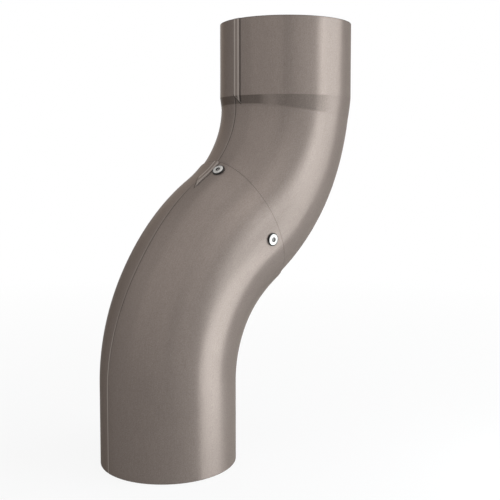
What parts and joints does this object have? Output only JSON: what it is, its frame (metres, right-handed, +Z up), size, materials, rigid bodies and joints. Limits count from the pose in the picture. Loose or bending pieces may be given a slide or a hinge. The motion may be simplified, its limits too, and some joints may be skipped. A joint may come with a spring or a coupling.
{
  "type": "downspout elbow",
  "caption": "Round metal downpipe offset: riveted elbows bent opposite ways, with a wide socket at the top and a plain outlet at the bottom.",
  "frame": {"origin": "centre of the outlet's mouth, the lower end of the pipe", "axes": "+Z up, out of the inlet socket; +X the way the inlet stands off from the outlet; the pipe's line lies in the XZ plane"},
  "size_m": [0.2136, 0.105, 0.3281],
  "materials": {
    "paint": "satin metallic brown-grey paint",
    "rivet": "bare",
    "pin": "bare, broken end"
  },
  "bodies": {
    "root": {"lower_elbow": "paint", "upper_elbow": "paint", "rivet_body_1": "rivet", "rivet_body_2": "rivet", "rivet_body_3": "rivet", "rivet_mandrel_1": "pin", "rivet_mandrel_2": "pin", "rivet_mandrel_3": "pin"}
  },
  "joints": []
}
